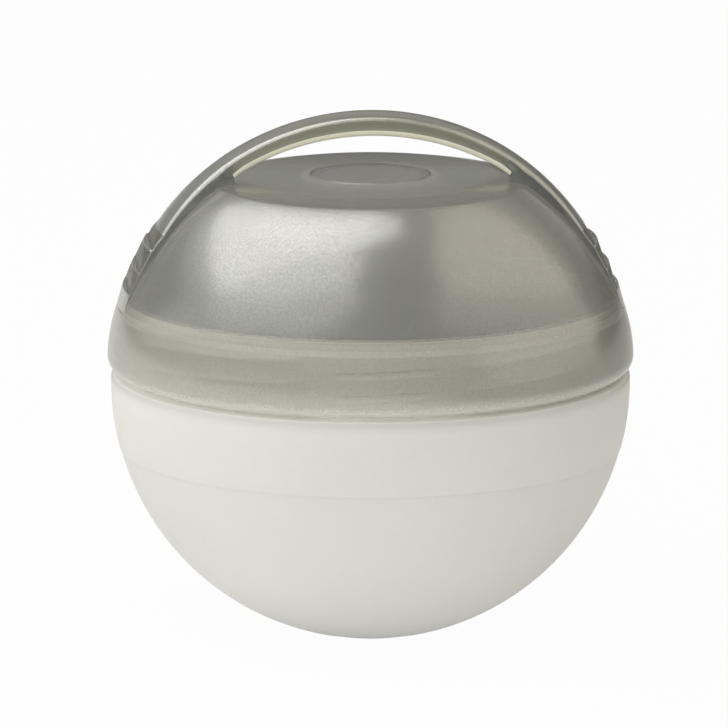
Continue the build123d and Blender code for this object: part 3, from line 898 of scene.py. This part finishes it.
KEY = [
    (127.6, 33), (136.5, 48.3), (144.6, 60.8), (151, 72), (145.7, 82), (43, 85.8), (18, 79), (-32, 79.5), (-95, 78),
    (-120.8, 71.7), (-155, 61.6), (-166, 48), (-178, 38), (170, 35.5), (154.5, 36), (138.8, 34),
]
KEY_LOW = [
    (170, 34), (-178, 38), (-166, 48), (-155, 61.6), (-121, 71.7), (-93, 71.4), (-105, 57.7), (-117.5, 53.7),
    (-139.8, 46.3), (-167, 37.4), (-179.6, 34.9),
]
KEY_EDGE = [(122, 24), (135, 25), (150, 26), (165, 26), (176, 29), (179, 36), (166, 36), (154.5, 37), (138.8, 35), (127.6, 34)]
FRONT_LOW = [
    (180, 36), (-167, 38.4), (-139.8, 47.3), (-117.5, 54.7), (-105, 58.7), (-93.7, 53.6), (-106.8, 41.8),
    (-126, 33.8), (-159.7, 27), (-172, 25), (178, 27),
]
LEFT = [(162, 24), (150, 9.7), (133.5, 3), (161, 9.9), (-177, 19.5), (-156, 30), (-163, 31), (-175, 30), (178, 27)]
CARD = [
    (34.6, 67.4), (-5.9, 69), (-38, 59), (-41, 50), (-30, 42.7), (-12, 38.4), (3.8, 31.3), (20.4, 22.9), (30, 19),
    (33, 22), (34.5, 27.5), (37, 31.5), (39.5, 37.5), (42.5, 42.5), (44, 49), (40, 58),
]
CARD_TOP = [
    (40, 58), (44, 49), (42.5, 42.5), (39.5, 37.5), (37, 31.5), (34.5, 27.5), (33, 22), (30, 19), (36, 16), (45, 22),
    (52, 30), (55, 40), (52, 50), (46, 58),
]
CARD_LOW = [
    (-41, 50), (-51.6, 49), (-53, 37), (-33.6, 30.8), (-7.8, 23), (20.6, 15), (32, 11), (31.5, 17), (20.4, 22.9),
    (3.8, 31.3), (-12, 38.4), (-30, 42.7),
]
KEY_HOT = [(147, 50), (150, 62), (152, 74), (146, 82), (43, 85.8), (-100, 84), (-140, 80), (-160, 72), (-176, 64), (168, 58), (158, 51)]
sky_patch("key_panel", KEY, emitter("key_glow", (1.0, 0.995, 0.97), 2.25))
sky_patch("key_panel_hot", KEY_HOT, emitter("key_hot_glow", (1.0, 0.995, 0.97), 2.75), dist=2.3)
sky_patch("key_panel_low", KEY_LOW, emitter("key_low_glow", (1.0, 0.995, 0.97), 1.6), dist=2.45)
sky_patch("key_panel_edge", KEY_EDGE, emitter("key_edge_glow", (1.0, 0.995, 0.97), 0.6), dist=2.5)
sky_patch("front_card", FRONT_LOW, emitter("front_card_glow", (1.0, 0.99, 0.96), 1.0), dist=2.5)
sky_patch("left_card", LEFT, emitter("left_glow", (1.0, 0.99, 0.96), 0.6), dist=2.55)
sky_patch("right_card", CARD, emitter("card_glow", (1.0, 0.93, 0.80), 1.06), dist=2.5)
sky_patch("right_card_top", CARD_TOP, emitter("card_top_glow", (1.0, 0.92, 0.80), 0.42), dist=2.55)
sky_patch("right_card_low", CARD_LOW, emitter("card_low_glow", (1.0, 0.95, 0.86), 0.68), dist=2.55)
BACK = [(54, 10), (66, 9.6), (78, 9.6), (92, 9), (112, 9), (112, 24), (92, 24), (78, 24), (64, 23), (54, 22)]
sky_patch("back_card", BACK, emitter("back_glow", (1.0, 0.99, 0.95), 0.31), dist=2.5)
SIDE_LOW = [(-40, 4), (-20, -1), (0, -2), (20, -2), (33, 0), (34, 10), (20, 15), (0, 21), (-20, 24), (-38, 26)]
sky_patch("right_card_foot", SIDE_LOW, emitter("card_foot_glow", (1.0, 0.96, 0.87), 0.6), dist=2.6)
side = [spun(2.1, 0.4, 0.02), spun(2.1, -1.4, 0.02), spun(2.1, -1.4, 1.2), spun(2.1, 0.4, 1.2)]
plane("right_fill", side, emitter("right_side_glow", (1.0, 0.98, 0.94), 0.75), camera=False, glossy=False, transmission=False)
flag = []
for az, z in [(28, -0.3), (50, -0.3), (75, -0.3), (100, -0.3), (100, 0.3), (75, 0.34), (50, 0.34), (28, 0.22)]:
    flag.append(spun(1.7 * math.cos(math.radians(az)), 1.7 * math.sin(math.radians(az)), z))
for k in range(3):
    quad = [flag[k], flag[k + 1], flag[6 - k], flag[7 - k]]
    plane("dark_flag_%d" % k, quad, emitter("flag_dark_%d" % k, (1.0, 1.0, 1.0), 0.06), camera=False, diffuse=False, shadow=False)
fill = [spun(-1.6, -1.3, 0.05), spun(-1.6, -1.3, 1.5), spun(0.5, -2.4, 1.5), spun(0.5, -2.4, 0.05)]
plane("front_fill", fill, emitter("fill_glow", (1.0, 0.995, 0.98), 1.24), camera=False, glossy=False)
side = [spun(-2.1, -1.4, 0.02), spun(-2.1, 0.6, 0.02), spun(-2.1, 0.6, 1.3), spun(-2.1, -1.4, 1.3)]
plane("side_fill", side, emitter("side_glow", (1.0, 0.995, 0.98), 0.9), camera=False, glossy=False)

floor_mat = bpy.data.materials.new("floor_pale")
floor_mat.use_nodes = True
nt = floor_mat.node_tree
nt.nodes.clear()
fo = nt.nodes.new("ShaderNodeOutputMaterial")
pale = nt.nodes.new("ShaderNodeBsdfDiffuse")
pale.inputs["Color"].default_value = (0.88, 0.88, 0.87, 1.0)
glow = nt.nodes.new("ShaderNodeEmission")
glow.inputs["Color"].default_value = (0.998, 0.998, 0.998, 1.0)
lit = nt.nodes.new("ShaderNodeMixShader")
lit.inputs[0].default_value = 0.96
nt.links.new(pale.outputs[0], lit.inputs[1])
nt.links.new(glow.outputs[0], lit.inputs[2])
lp = nt.nodes.new("ShaderNodeLightPath")
mx = nt.nodes.new("ShaderNodeMixShader")
nt.links.new(lp.outputs["Is Camera Ray"], mx.inputs[0])
bounce = nt.nodes.new("ShaderNodeMixShader")
bounce.inputs[0].default_value = 0.2
nt.links.new(pale.outputs[0], bounce.inputs[1])
nt.links.new(glow.outputs[0], bounce.inputs[2])
# painted shade: for rays other than camera rays the floor darkens towards +X, standing in for the light falling off to
# the right
fc = nt.nodes.new("ShaderNodeTexCoord")
fs = nt.nodes.new("ShaderNodeSeparateXYZ")
nt.links.new(fc.outputs["Object"], fs.inputs[0])
fade = nt.nodes.new("ShaderNodeMixShader")
nt.links.new(ranged(nt, fs.outputs["X"], 0.03, 0.3, 0.0, 0.5), fade.inputs[0])
shade = nt.nodes.new("ShaderNodeBsdfDiffuse")
shade.inputs["Color"].default_value = (0.1, 0.1, 0.1, 1.0)
nt.links.new(bounce.outputs[0], fade.inputs[1])
nt.links.new(shade.outputs[0], fade.inputs[2])
nt.links.new(fade.outputs[0], mx.inputs[1])
nt.links.new(lit.outputs[0], mx.inputs[2])
nt.links.new(mx.outputs[0], fo.inputs["Surface"])
plane("floor", [(-4, -4, -0.00005), (4, -4, -0.00005), (4, 4, -0.00005), (-4, 4, -0.00005)], floor_mat, transmission=False)

world = bpy.data.worlds.new("studio")
bpy.context.scene.world = world
world.use_nodes = True
nt = world.node_tree
nt.nodes.clear()
wo = nt.nodes.new("ShaderNodeOutputWorld")
bg = nt.nodes.new("ShaderNodeBackground")
tc = nt.nodes.new("ShaderNodeTexCoord")
sep = nt.nodes.new("ShaderNodeSeparateXYZ")
nt.links.new(tc.outputs["Generated"], sep.inputs[0])
back = ranged(nt, sep.outputs["Y"], -0.3, 0.5, 0.0, 1.0)
up = mix_rgb(nt, back, (0.335, 0.332, 0.315, 1.0), (0.2, 0.2, 0.19, 1.0))
lower = ranged(nt, sep.outputs["Z"], -0.06, 0.03, 0.0, 1.0)
colour = mix_rgb(nt, lower, (0.41, 0.406, 0.37, 1.0), up)
wlp = nt.nodes.new("ShaderNodeLightPath")
colour = mix_rgb(nt, wlp.outputs["Is Camera Ray"], colour, (0.991, 0.991, 0.991, 1.0))
nt.links.new(colour, bg.inputs["Color"])
nt.links.new(bg.outputs[0], wo.inputs["Surface"])

# ---------------------------------------------------------------------- camera
cam_data = bpy.data.cameras.new("view_camera")
cam = bpy.data.objects.new("view_camera", cam_data)
bpy.context.scene.collection.objects.link(cam)
elev = math.radians(11.4)
back_dir = Vector(spun(0.0, -math.cos(elev), math.sin(elev)))
up_dir = Vector(spun(0.0, math.sin(elev), math.cos(elev)))
right_dir = Vector(spun(1.0, 0.0, 0.0))
K = 0.1934 * MM
aim = Vector((0.0, 0.0, BALL_Z * MM)) + right_dir * (-6.5 * K) + up_dir * (16.1 * K)
dist = 2.0
cam.location = aim + back_dir * dist
cam.rotation_mode = "QUATERNION"
cam.rotation_quaternion = (-back_dir).to_track_quat("-Z", "Y")
cam_data.sensor_width = 36.0
cam_data.lens = 36.0 * dist / (728 * K)
cam_data.clip_start = 0.05
cam_data.clip_end = 50.0
bpy.context.scene.camera = cam

scene = bpy.context.scene
scene.view_settings.view_transform = "Standard"
scene.view_settings.look = "None"
if hasattr(scene, "cycles"):
    scene.cycles.max_bounces = 20
    scene.cycles.transmission_bounces = 16
    scene.cycles.glossy_bounces = 8
    scene.cycles.diffuse_bounces = 5
    scene.cycles.transparent_max_bounces = 16
